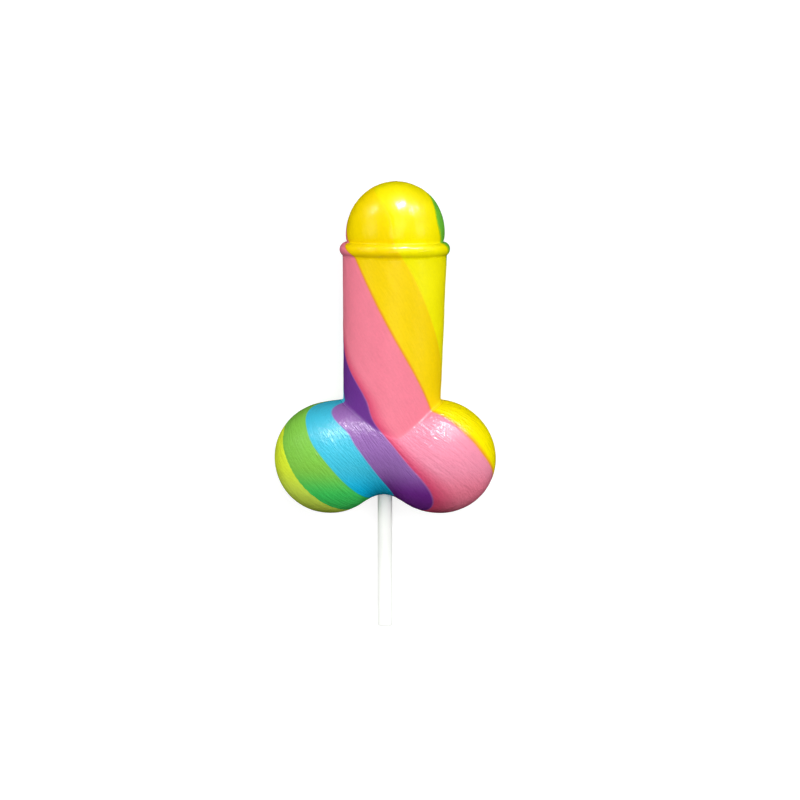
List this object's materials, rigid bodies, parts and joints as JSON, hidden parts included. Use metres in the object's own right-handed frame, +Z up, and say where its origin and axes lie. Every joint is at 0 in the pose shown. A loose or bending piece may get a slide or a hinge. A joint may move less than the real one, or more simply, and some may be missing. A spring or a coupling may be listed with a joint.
{
  "type": "penis lollipop",
  "caption": "Novelty penis lollipop: a twisted rainbow candy with a domed tip, a collar and two round lobes at its foot, on a white paper stick. It lies on its back.",
  "frame": {"origin": "centre of the bounding box at the surface that the lollipop lies on", "axes": "+X across the candy to the right as seen from its front, +Y along the stick and the candy towards the domed tip, +Z up, out of the candy's front"},
  "size_m": [0.0681, 0.1368, 0.0342],
  "materials": {
    "candy": "opaque pulled hard candy, glossy, with spiral stripes of pink, golden yellow, lemon, green, sky blue and purple",
    "stick": "tightly rolled white paper, matte"
  },
  "bodies": {
    "root": {"candy": "candy", "stick": "stick"}
  },
  "joints": []
}
